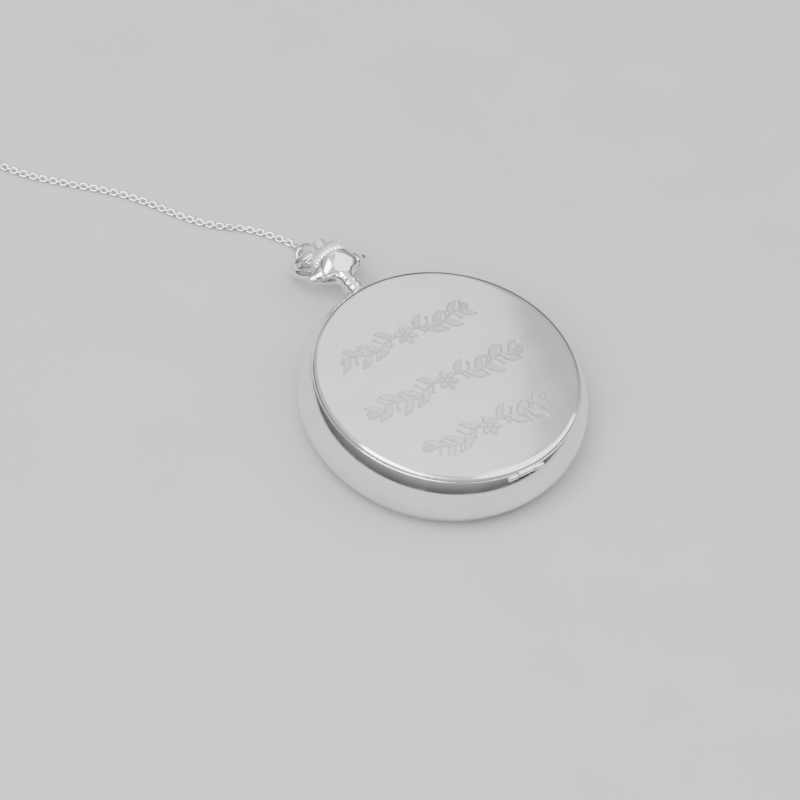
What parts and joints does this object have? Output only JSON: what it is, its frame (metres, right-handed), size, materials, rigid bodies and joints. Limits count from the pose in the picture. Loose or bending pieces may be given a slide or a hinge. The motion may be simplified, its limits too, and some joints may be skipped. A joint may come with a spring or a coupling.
{
  "type": "pocket watch",
  "caption": "Round hunter-case pocket watch with a hinged lid, pendant crown with push button, swinging bow and fine chain.",
  "frame": {"origin": "centre of the flat case back, on the surface it rests on", "axes": "+Y from the case centre to the pendant and crown, +Z out of the closed lid, +X to the three o'clock side"},
  "size_m": [0.0824, 0.1175, 0.013],
  "materials": {
    "polished_silver": "mirror polish with fine handling scratches",
    "chain_silver": "polished links, darker between them",
    "spring_steel": "satin steel",
    "gear_brass": "fine-ground brass",
    "hand_black": "glossy black lacquer",
    "dial_white": "smooth enamel-white lacquer with black numerals",
    "crystal_glass": "clear polished mineral glass",
    "holder_plastic": "moulded plastic",
    "plate_plastic": "moulded filled plastic",
    "board_green": "circuit board lacquer",
    "copper_wire": "enamelled copper winding",
    "gasket_rubber": "soft black rubber",
    "battery_steel": "nickel-plated sheet"
  },
  "bodies": {
    "case": {"mid_case": "polished_silver", "case_back": "polished_silver", "bezel": "polished_silver", "pendant_tube": "polished_silver", "chain_run": "chain_silver", "chain_coil": "chain_silver", "swivel_ring": "chain_silver", "hinge_pin": "spring_steel", "lock_spring_screw": "spring_steel", "lift_spring": "spring_steel", "lift_spring_screw": "spring_steel", "bow_screw_left": "spring_steel", "bow_screw_right": "spring_steel", "bridge_screw_1": "spring_steel", "bridge_screw_2": "spring_steel", "stator": "spring_steel", "coil_core": "spring_steel", "battery_clip": "spring_steel", "dial": "dial_white", "crystal": "crystal_glass", "movement_holder": "holder_plastic", "main_plate": "plate_plastic", "circuit_board": "board_green", "coil_winding": "copper_wire", "crown_gasket": "gasket_rubber", "train_bridge": "battery_steel", "battery": "battery_steel", "quartz_can": "battery_steel"},
    "lid": {"lid": "polished_silver"},
    "bow": {"bow": "polished_silver", "jump_ring": "chain_silver"},
    "clutch": {"clutch_pinion": "spring_steel"},
    "crown": {"crown": "polished_silver", "stem": "spring_steel", "button_spring": "spring_steel"},
    "button": {"push_button": "polished_silver", "push_collar": "spring_steel"},
    "lock": {"lock_spring": "spring_steel"},
    "setting_lever": {"setting_lever": "spring_steel"},
    "seconds": {"fourth_wheel": "gear_brass", "second_hand": "hand_black"},
    "minutes": {"centre_wheel": "gear_brass", "minute_hand": "hand_black"},
    "hours": {"hour_wheel": "gear_brass", "hour_hand": "hand_black"},
    "third": {"third_wheel": "gear_brass"},
    "fifth": {"fifth_wheel": "gear_brass"},
    "rotor": {"rotor": "spring_steel"},
    "minute_works": {"minute_wheel": "gear_brass"},
    "setting": {"setting_wheel": "gear_brass"},
    "clasp": {"clasp_body": "chain_silver", "clasp_pin": "spring_steel"},
    "gate": {"clasp_gate": "chain_silver"}
  },
  "joints": [
    {"name": "lid_hinge", "type": "hinge", "parent": "case", "child": "lid", "pos_m": [0, -0.02175, 0.01088], "axis": [1, 0, 0], "range_deg": [0, 98]},
    {"name": "bow_swing", "type": "hinge", "parent": "case", "child": "bow", "pos_m": [0, 0.0303, 0.0065], "axis": [1, 0, 0], "range_deg": [-91, 158]},
    {"name": "crown_turn", "type": "hinge", "parent": "case", "child": "clutch", "pos_m": [0, 0.0063, 0.0065], "axis": [0, 1, 0], "continuous": true},
    {"name": "crown_pull", "type": "slide", "parent": "clutch", "child": "crown", "axis": [0, 1, 0], "range_m": [0, 0.001]},
    {"name": "button_press", "type": "slide", "parent": "crown", "child": "button", "axis": [0, -1, 0], "range_m": [0, 0.0005], "stiffness_N_per_m": 400, "springref_m": -0.001},
    {"name": "lock_spring_flex", "type": "hinge", "parent": "case", "child": "lock", "pos_m": [-0.01805, 0.0094, 0.005], "axis": [0, 0, 1], "range_deg": [-1.7, 0]},
    {"name": "setting_lever_turn", "type": "hinge", "parent": "case", "child": "setting_lever", "pos_m": [-0.0045, 0.0103, 0.0065], "axis": [0, 0, 1], "range_deg": [0, 14]},
    {"name": "second_turn", "type": "hinge", "parent": "case", "child": "seconds", "pos_m": [0, 0, 0.0057], "axis": [0, 0, -1], "continuous": true},
    {"name": "minute_turn", "type": "hinge", "parent": "case", "child": "minutes", "pos_m": [0, 0, 0.006], "axis": [0, 0, -1], "continuous": true},
    {"name": "hour_turn", "type": "hinge", "parent": "case", "child": "hours", "pos_m": [0, 0, 0.008], "axis": [0, 0, -1], "continuous": true},
    {"name": "third_turn", "type": "hinge", "parent": "case", "child": "third", "pos_m": [-0.00304, 0.00037, 0.0053], "axis": [0, 0, -1], "continuous": true},
    {"name": "fifth_turn", "type": "hinge", "parent": "case", "child": "fifth", "pos_m": [0.00224, -0.00157, 0.005], "axis": [0, 0, -1], "continuous": true},
    {"name": "rotor_turn", "type": "hinge", "parent": "case", "child": "rotor", "pos_m": [0.00332, -0.00344, 0.0047], "axis": [0, 0, -1], "continuous": true},
    {"name": "minute_works_turn", "type": "hinge", "parent": "case", "child": "minute_works", "pos_m": [0.0012, 0.00208, 0.0077], "axis": [0, 0, -1], "continuous": true},
    {"name": "setting_turn", "type": "hinge", "parent": "case", "child": "setting", "pos_m": [0.00026, 0.00467, 0.0077], "axis": [0, 0, -1], "continuous": true},
    {"name": "clasp_swivel", "type": "hinge", "parent": "case", "child": "clasp", "pos_m": [-0.051, 0.0822, 0.001], "axis": [1, 0, 0], "continuous": true},
    {"name": "clasp_gate_turn", "type": "hinge", "parent": "clasp", "child": "gate", "pos_m": [-0.0489, 0.084, 0.001], "axis": [0, 0, -1], "range_deg": [0, 28], "stiffness_Nm_per_rad": 0.001, "springref_deg": -17.19}
  ],
  "couplings": [
    {"joint": "minute_turn", "follows": "second_turn", "ratio": 0.016667},
    {"joint": "hour_turn", "follows": "second_turn", "ratio": 0.0013889},
    {"joint": "third_turn", "follows": "second_turn", "ratio": -0.13333},
    {"joint": "fifth_turn", "follows": "second_turn", "ratio": -6},
    {"joint": "rotor_turn", "follows": "second_turn", "ratio": 30},
    {"joint": "minute_works_turn", "follows": "second_turn", "ratio": -0.0055556},
    {"joint": "setting_turn", "follows": "second_turn", "ratio": 0.010417},
    {"joint": "lock_spring_flex", "follows": "button_press", "rad_per_m": -57.6},
    {"joint": "setting_lever_turn", "follows": "crown_pull", "rad_per_m": 240}
  ]
}
